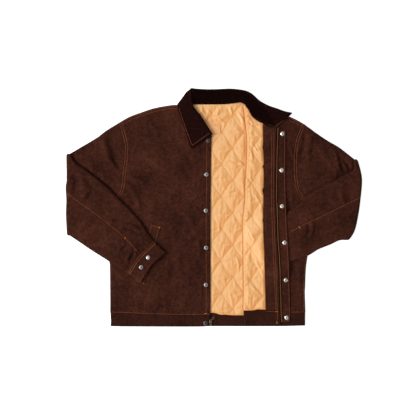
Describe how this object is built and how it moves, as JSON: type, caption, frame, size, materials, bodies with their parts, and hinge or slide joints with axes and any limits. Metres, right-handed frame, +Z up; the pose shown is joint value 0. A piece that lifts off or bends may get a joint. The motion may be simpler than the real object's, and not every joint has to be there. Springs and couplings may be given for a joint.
{
  "type": "canvas work jacket",
  "caption": "Brown canvas work jacket laid open on its back, one front folded over to show quilted lining, zip and snap placket; corduroy collar, sleeves folded in.",
  "frame": {"origin": "on the resting surface, under the middle of the jacket's outline", "axes": "+X towards the wearer's left as seen from above, +Y from hem to collar, +Z up off the surface"},
  "size_m": [0.9171, 0.7395, 0.0297],
  "materials": {
    "canvas": "matt duck canvas, rust brown",
    "corduroy": "fine corduroy, very dark brown",
    "quilt": "satin, apricot, diamond quilted",
    "label": "matt woven patch, bare",
    "tape": "matt woven tape, dark brown",
    "steel": "satin",
    "brass": "aged brass"
  },
  "bodies": {
    "garment": {"back": "canvas", "front_right": "canvas", "front_left": "canvas", "sleeve_right": "canvas", "sleeve_left": "canvas", "cuff_right": "canvas", "cuff_left": "canvas", "hem_band_back": "canvas", "hem_band_right": "canvas", "hem_band_left": "canvas", "facing_left": "canvas", "placket": "canvas", "pocket_welt_right": "canvas", "collar": "corduroy", "lining_back": "quilt", "lining_left": "quilt", "label": "label", "zip_tape_left": "tape", "zip_tape_right": "tape", "socket_1": "steel", "socket_2": "steel", "socket_3": "steel", "socket_4": "steel", "socket_5": "steel", "socket_6": "steel", "stud_1": "steel", "stud_2": "steel", "stud_3": "steel", "stud_4": "steel", "stud_5": "steel", "stud_6": "steel", "cuff_cap": "steel", "cuff_stud": "steel", "zip_slider": "brass", "zip_box": "brass"},
    "pull": {"zip_pull": "brass"}
  },
  "joints": [
    {"name": "zip_pull", "type": "hinge", "parent": "garment", "child": "pull", "pos_m": [-0.009, -0.3505, 0.00985], "axis": [0.7314, -0.682, 0], "range_deg": [0, 150]}
  ]
}
